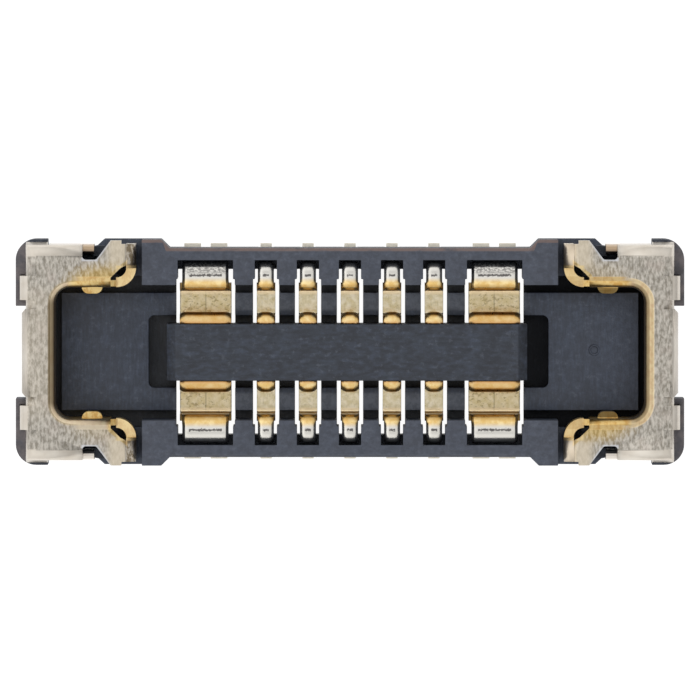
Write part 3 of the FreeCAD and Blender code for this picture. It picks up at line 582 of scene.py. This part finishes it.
def add_bridges(piece, side):
    """Closes the inner end of each slot, where the curl runs on into the lip."""
    corners = ((1.93, 0.44), (2.01, 0.46), (2.01, 0.555), (1.985, 0.54), (1.93, 0.498))
    add_blocks(piece, [[(x, y, z) for x, z in corners] for y in (0.552, 0.604)], (side,))


def add_foot_tops(piece, side):
    """Rounds off the step of each side foot, which shows in the notch."""
    corners = ((0.815, 0.22), (0.815, 0.37), (0.824, 0.415), (0.842, 0.438), (0.862, 0.44),
               (0.882, 0.422), (0.895, 0.38), (0.895, 0.22))
    add_blocks(piece, [[(x, y, z) for y, z in corners] for x in (2.13, 2.222)], (side,))


def place_piece(piece, nodes):
    """Hides the nodes that a finished piece stands for, and puts it under its body."""
    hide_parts(*nodes)
    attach(piece, "root")


# The strip's middle line, outward and upward in mm: tail, leg, head, drop, cradle,
# and the spring, which leans out and turns back over to the island.
STRIP_LINE = (
    (0.90, 0.03), (0.72, 0.03), (0.72, 0.477), (0.545, 0.437), (0.545, 0.07),
    (0.275, 0.07), (0.275, 0.20), (0.316, 0.335), (0.20, 0.391),
)


def strip_tree(material):
    """Grows one contact along its line: bent, narrowed, crowned, then set in place."""
    tree = bpy.data.node_groups.new("bent contact strip", "GeometryNodeTree")
    face = tree.interface
    face.new_socket("Line", in_out="INPUT", socket_type="NodeSocketGeometry")
    for label in ("Bend", "Sheet", "Body Width", "Head Width", "Tail Width",
                  "Head Crown", "Head Drop", "Spring Crown", "Crown Power",
                  "Foot Gap", "Column", "Turn"):
        face.new_socket(label, in_out="INPUT", socket_type="NodeSocketFloat")
    face.new_socket("Strip", in_out="OUTPUT", socket_type="NodeSocketGeometry")
    given = add_node(tree, "NodeGroupInput").outputs

    # The line, with its corners bent, and the strip's section swept along it.
    curve = add_node(tree, "GeometryNodeMeshToCurve", {"Mesh": given["Line"]})
    bent = add_node(tree, "GeometryNodeFilletCurve",
                    {"Curve": curve.outputs[0], "Count": 8, "Radius": given["Bend"],
                     "Limit Radius": True}, mode="POLY")
    fine = add_node(tree, "GeometryNodeResampleCurve",
                    {"Curve": bent.outputs[0], "Length": 0.012}, mode="LENGTH")
    section = add_node(tree, "GeometryNodeCurvePrimitiveQuadrilateral",
                       {"Width": 1.0, "Height": given["Sheet"]})
    # Only its two long sides are cut up, so that they can be crowned.
    corner = add_node(tree, "GeometryNodeInputIndex")
    long_side = rest(tree, math_of(tree, "MODULO", corner.outputs[0], 2.0))
    divided = add_node(tree, "GeometryNodeSubdivideCurve",
                       {"Curve": section.outputs[0], "Cuts": product(tree, long_side, 15.0)})
    swept = add_node(tree, "GeometryNodeCurveToMesh",
                     {"Curve": fine.outputs[0], "Profile Curve": divided.outputs[0],
                      "Fill Caps": True})

    # Across the strip, u runs from -1 to 1.
    spot = add_node(tree, "GeometryNodeInputPosition")
    split = add_node(tree, "ShaderNodeSeparateXYZ", {0: spot.outputs[0]})
    side = product(tree, split.outputs[0], 2.0)
    out, up = split.outputs[1], split.outputs[2]
    in_wall = fade(tree, out, 0.46, 0.50)
    raised = product(tree, fade(tree, up, 0.27, 0.31), in_wall)
    in_leg = product(tree, fade(tree, out, 0.62, 0.66), fade(tree, up, 0.09, 0.12))
    on_tail = product(tree, fade(tree, out, 0.735, 0.755), fade(tree, up, 0.12, 0.09))
    narrowed = product(tree, either(tree, raised, in_leg),
                       math_of(tree, "SUBTRACT", given["Head Width"], given["Body Width"]),
                       rest(tree, product(tree, raised, fade(tree, out, 0.62, 0.545), 0.2)))
    tapered = product(tree, on_tail,
                      math_of(tree, "SUBTRACT", given["Tail Width"], given["Body Width"]))
    width = math_of(tree, "ADD", given["Body Width"], math_of(tree, "ADD", narrowed, tapered))
    curve_in = math_of(tree, "POWER", math_of(tree, "ABSOLUTE", side), given["Crown Power"])
    on_spring = product(tree, fade(tree, up, 0.12, 0.25), fade(tree, out, 0.5, 0.45))
    shrink = rest(tree,
                  product(tree, raised, fade(tree, out, 0.62, 0.68), given["Head Crown"],
                          curve_in))
    crowned_out = math_of(tree, "ADD", 0.6325,
                          product(tree, math_of(tree, "SUBTRACT", out, 0.6325), shrink))
    crowned_up = math_of(tree, "SUBTRACT", up, product(tree, raised, given["Head Drop"], curve_in))
    spring_in = math_of(tree, "MULTIPLY", product(tree, on_spring, given["Spring Crown"]),
                        curve_in)
    # The tip is trimmed upright beside the island.
    trimmed = math_of(tree, "MAXIMUM", math_of(tree, "SUBTRACT", crowned_out, spring_in), 0.24)
    placed = add_node(tree, "ShaderNodeCombineXYZ",
                      {0: product(tree, split.outputs[0], width),
                       1: trimmed,
                       2: crowned_up})
    shaped = add_node(tree, "GeometryNodeSetPosition",
                      {"Geometry": swept.outputs[0], "Position": placed.outputs[0]})

    # A wide strip's tail is slit into two feet.
    slit_size = add_node(tree, "ShaderNodeCombineXYZ", {0: given["Foot Gap"], 1: 0.4, 2: 0.2})
    slit = add_node(tree, "GeometryNodeMeshCube", {"Size": slit_size.outputs[0]})
    slit_here = add_node(tree, "GeometryNodeTransform",
                         {"Geometry": slit.outputs[0], "Translation": (0, 0.97, 0.05)})
    footed = add_node(tree, "GeometryNodeMeshBoolean",
                      {"Mesh 1": shaped.outputs[0], "Mesh 2": slit_here.outputs[0]},
                      operation="DIFFERENCE", solver="EXACT")
    wide = add_node(tree, "FunctionNodeCompare", {"A": given["Foot Gap"], "B": 0.0},
                    data_type="FLOAT", operation="GREATER_THAN")
    strip = add_node(tree, "GeometryNodeSwitch", input_type="GEOMETRY")
    tree.links.new(wide.outputs[0], strip.inputs["Switch"])
    tree.links.new(shaped.outputs[0], strip.inputs["False"])
    tree.links.new(footed.outputs[0], strip.inputs["True"])

    # From millimetres at the middle to metres at its own column and row.
    turn = add_node(tree, "ShaderNodeCombineXYZ", {2: given["Turn"]})
    turned = add_node(tree, "GeometryNodeTransform",
                      {"Geometry": strip.outputs[0], "Rotation": turn.outputs[0]})
    step = add_node(tree, "ShaderNodeCombineXYZ", {0: given["Column"]})
    moved = add_node(tree, "GeometryNodeTransform",
                     {"Geometry": turned.outputs[0], "Translation": step.outputs[0]})
    sized = add_node(tree, "GeometryNodeTransform",
                     {"Geometry": moved.outputs[0], "Scale": (MM, MM, MM)})
    smooth = add_node(tree, "GeometryNodeSetShadeSmooth", {"Geometry": sized.outputs[0]})
    real = add_node(tree, "GeometryNodeRealizeInstances", {"Geometry": smooth.outputs[0]})
    dressed = add_node(tree, "GeometryNodeSetMaterial",
                       {"Geometry": real.outputs[0], "Material": material})
    end = add_node(tree, "NodeGroupOutput")
    tree.links.new(dressed.outputs[0], end.inputs[0])
    return tree


def grow_strip(tree, name, values):
    """One contact as a plain mesh, from the line and the tree's inputs."""
    line = bpy.data.meshes.new(name + "_line")
    line.from_pydata([(0, out, up) for out, up in STRIP_LINE],
                     [(i, i + 1) for i in range(len(STRIP_LINE) - 1)], [])
    piece = new_object(name, line)
    grown = piece.modifiers.new("bent strip", "NODES")
    grown.node_group = tree
    for item in tree.interface.items_tree:
        if item.in_out == "INPUT" and item.name in values:
            grown[item.identifier] = float(values[item.name])
    return finish_edges(piece, STRIP_EDGE)


# Settings

class PlasticLook(bpy.types.PropertyGroup):
    dark: FloatVectorProperty(
        name="Dark skin", description="Darker part of the moulded skin",
        subtype="COLOR", size=3, min=0, max=1, default=linear("#22262f")[:3])
    light: FloatVectorProperty(
        name="Light skin", description="Lighter clouds in the moulded skin",
        subtype="COLOR", size=3, min=0, max=1, default=linear("#303640")[:3])
    roughness: FloatProperty(
        name="Roughness", description="How matt the moulded skin is",
        subtype="FACTOR", min=0, max=1, default=0.6)
    edge: FloatProperty(
        name="Edge (mm)", description="Width of the eased edges of the moulding",
        min=0.001, max=0.03, default=0.008)


class ShellLook(bpy.types.PropertyGroup):
    plating: FloatVectorProperty(
        name="Plating", description="Pale plating of the flats",
        subtype="COLOR", size=3, min=0, max=1, default=linear("#cac4ba")[:3])
    gold: FloatVectorProperty(
        name="Gold", description="Gold beside the springs",
        subtype="COLOR", size=3, min=0, max=1, default=linear("#d0b67c")[:3])
    roughness: FloatProperty(
        name="Roughness", description="How dull the stamped sheet is",
        subtype="FACTOR", min=0, max=1, default=0.36)


class ContactLook(bpy.types.PropertyGroup):
    nickel: FloatVectorProperty(
        name="Nickel", description="Bright plating of the outer heads",
        subtype="COLOR", size=3, min=0, max=1, default=linear("#dedbd4")[:3])
    gold: FloatVectorProperty(
        name="Gold", description="Gold of the spring tips",
        subtype="COLOR", size=3, min=0, max=1, default=linear("#e3bf7a")[:3])
    roughness: FloatProperty(
        name="Roughness", description="How dull the strip is",
        subtype="FACTOR", min=0, max=1, default=0.3)
    bend: FloatProperty(
        name="Bend radius (mm)", description="Radius of the strip's middle line in a bend",
        min=0.032, max=0.06, default=0.05)
    sheet: FloatProperty(
        name="Strip thickness (mm)", description="Thickness of the contact strip",
        min=0.03, max=0.08, default=0.06)
    signal_width: FloatProperty(
        name="Signal width (mm)", description="Width of a narrow contact",
        min=0.08, max=0.2, default=0.155)
    power_width: FloatProperty(
        name="Power width (mm)", description="Width of a wide contact",
        min=0.3, max=0.46, default=0.43)


class StageLook(bpy.types.PropertyGroup):
    glow: FloatProperty(
        name="Table glow", description="Brightness of the light table",
        min=0, max=3, default=0.95)
    lean: FloatProperty(
        name="Lean", description="Camera's lean away from straight above",
        subtype="ANGLE", min=0, max=0.5, default=math.radians(1.9))
    distance: FloatProperty(
        name="Distance", description="From the camera to the socket",
        subtype="DISTANCE", unit="LENGTH", min=0.05, max=1, default=0.12)


# Operators

class SOCKET_OT_moulding(bpy.types.Operator):
    """Make the black moulding, with eased edges and its moulded skin"""
    bl_idname = "socket.moulding"
    bl_label = "Moulding"

    def execute(self, context):
        look = context.scene.socket_plastic
        piece = softened("housing", "moulding", look.edge, moulded_black_polymer(look))
        add_webs(piece)
        place_piece(piece, ["housing"])
        return {"FINISHED"}


class SOCKET_OT_contacts(bpy.types.Operator):
    """Grow every contact as a bent strip and set it in its slot"""
    bl_idname = "socket.contacts"
    bl_label = "Contacts"

    def execute(self, context):
        look = context.scene.socket_contacts
        material = plated_contact(look)
        tree = strip_tree(material)
        names = sorted(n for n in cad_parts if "_contact_" in n)
        if len(names) != CONTACTS:
            raise RuntimeError("the model has %d contacts, not %d" % (len(names), CONTACTS))
        for name in names:
            low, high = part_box(name)
            wide = name.startswith(WIDE_CONTACT)
            values = {
                **(WIDE_STRIP if wide else NARROW_STRIP),
                "Bend": look.bend,
                "Sheet": look.sheet,
                "Body Width": look.power_width if wide else look.signal_width,
                "Column": (low.x + high.x) / 2 / MM,
                "Turn": math.pi if "_front_" in name else 0.0,
            }
            piece = grow_strip(tree, name + "_strip", values)
            place_piece(piece, [name])
        return {"FINISHED"}


class SOCKET_OT_shells(bpy.types.Operator):
    """Make the two stamped end shells with painted bright bends and edges, and gold springs"""
    bl_idname = "socket.shells"
    bl_label = "End shells"

    def execute(self, context):
        look = context.scene.socket_shells
        material = plated_shell(look)
        for side, sign in (("left", -1), ("right", 1)):
            node = "end_shell_" + side
            # Sheared edges are crisp: what is round on the shells is a bend of the solid.
            piece = softened(node, "stamped_" + node, 0, material)
            add_bridges(piece, sign)
            add_foot_tops(piece, sign)
            place_piece(piece, [node])
        return {"FINISHED"}


class SOCKET_OT_stage(bpy.types.Operator):
    """Lay the light table, raise the dome of soft light and aim the camera"""
    bl_idname = "socket.stage"
    bl_label = "Stage"

    def execute(self, context):
        look = context.scene.socket_stage
        scene = context.scene
        reach = 0.4
        table = bpy.data.meshes.new("light_table")
        table.from_pydata([(-reach, -reach, 0), (reach, -reach, 0),
                           (reach, reach, 0), (-reach, reach, 0)], [], [(0, 1, 2, 3)])
        table.materials.append(light_table(look))
        new_object("light_table", table)

        world = bpy.data.worlds.new("soft studio dome")
        scene.world = world
        world.use_nodes = True
        tree = world.node_tree
        back = next(n for n in tree.nodes if n.type == "BACKGROUND")
        way = add_node(tree, "ShaderNodeTexCoord")
        split = add_node(tree, "ShaderNodeSeparateXYZ", {0: way.outputs["Generated"]})
        # A ring of soft light, with a darker hole overhead where the lens is.
        ramp = add_node(tree, "ShaderNodeValToRGB", {0: split.outputs[2]})
        stops = ((0.0, 0.72), (0.35, 0.95), (0.8, 1.1), (0.95, 1.0), (0.985, 0.85), (1.0, 0.6))
        bar = ramp.color_ramp
        bar.elements[0].position, bar.elements[1].position = stops[0][0], stops[-1][0]
        bar.elements[0].color = (*([stops[0][1]] * 3), 1)
        bar.elements[1].color = (*([stops[-1][1]] * 3), 1)
        for position, value in stops[1:-1]:
            bar.elements.new(position).color = (value, value, value, 1)
        tree.links.new(ramp.outputs[0], back.inputs[0])
        # The ring is stronger on the left.
        lopsided = rest(tree, product(tree, split.outputs[0], 0.3))
        tree.links.new(lopsided, back.inputs[1])

        lens = bpy.data.cameras.new("camera")
        lens.sensor_width = 36.0
        lens.lens = lens.sensor_width * look.distance / PICTURE_WIDTH
        lens.clip_start = 0.001
        lens.clip_end = 10
        camera = bpy.data.objects.new("camera", lens)
        aim = Vector([way * MM for way in PICTURE_MIDDLE])
        away = Vector((0, math.sin(look.lean), math.cos(look.lean)))
        camera.location = aim + look.distance * away
        camera.rotation_euler = (-look.lean, 0, 0)
        scene.collection.objects.link(camera)
        scene.camera = camera
        scene.view_settings.view_transform = "Standard"
        return {"FINISHED"}


class SOCKET_PT_panel(bpy.types.Panel):
    """Settings and makers of the socket"""
    bl_idname = "SOCKET_PT_panel"
    bl_label = "Fine-pitch socket"
    bl_space_type = "VIEW_3D"
    bl_region_type = "UI"
    bl_category = "Socket"

    def draw(self, context):
        scene = context.scene
        for group, maker in ((scene.socket_plastic, SOCKET_OT_moulding),
                             (scene.socket_contacts, SOCKET_OT_contacts),
                             (scene.socket_shells, SOCKET_OT_shells),
                             (scene.socket_stage, SOCKET_OT_stage)):
            box = self.layout.box()
            for name in group.__annotations__:
                box.prop(group, name)
            box.operator(maker.bl_idname)


CLASSES = (PlasticLook, ShellLook, ContactLook, StageLook, SOCKET_OT_moulding,
           SOCKET_OT_contacts, SOCKET_OT_shells, SOCKET_OT_stage, SOCKET_PT_panel)
GROUPS = {"socket_plastic": PlasticLook, "socket_shells": ShellLook,
          "socket_contacts": ContactLook, "socket_stage": StageLook}


def register():
    for item in CLASSES:
        bpy.utils.register_class(item)
    for name, group in GROUPS.items():
        setattr(bpy.types.Scene, name, PointerProperty(type=group))


def unregister():
    for name in GROUPS:
        delattr(bpy.types.Scene, name)
    for item in reversed(CLASSES):
        bpy.utils.unregister_class(item)


def main():
    register()
    bpy.ops.socket.moulding()
    bpy.ops.socket.contacts()
    bpy.ops.socket.shells()
    bpy.ops.socket.stage()


if __name__ == "__main__":
    main()
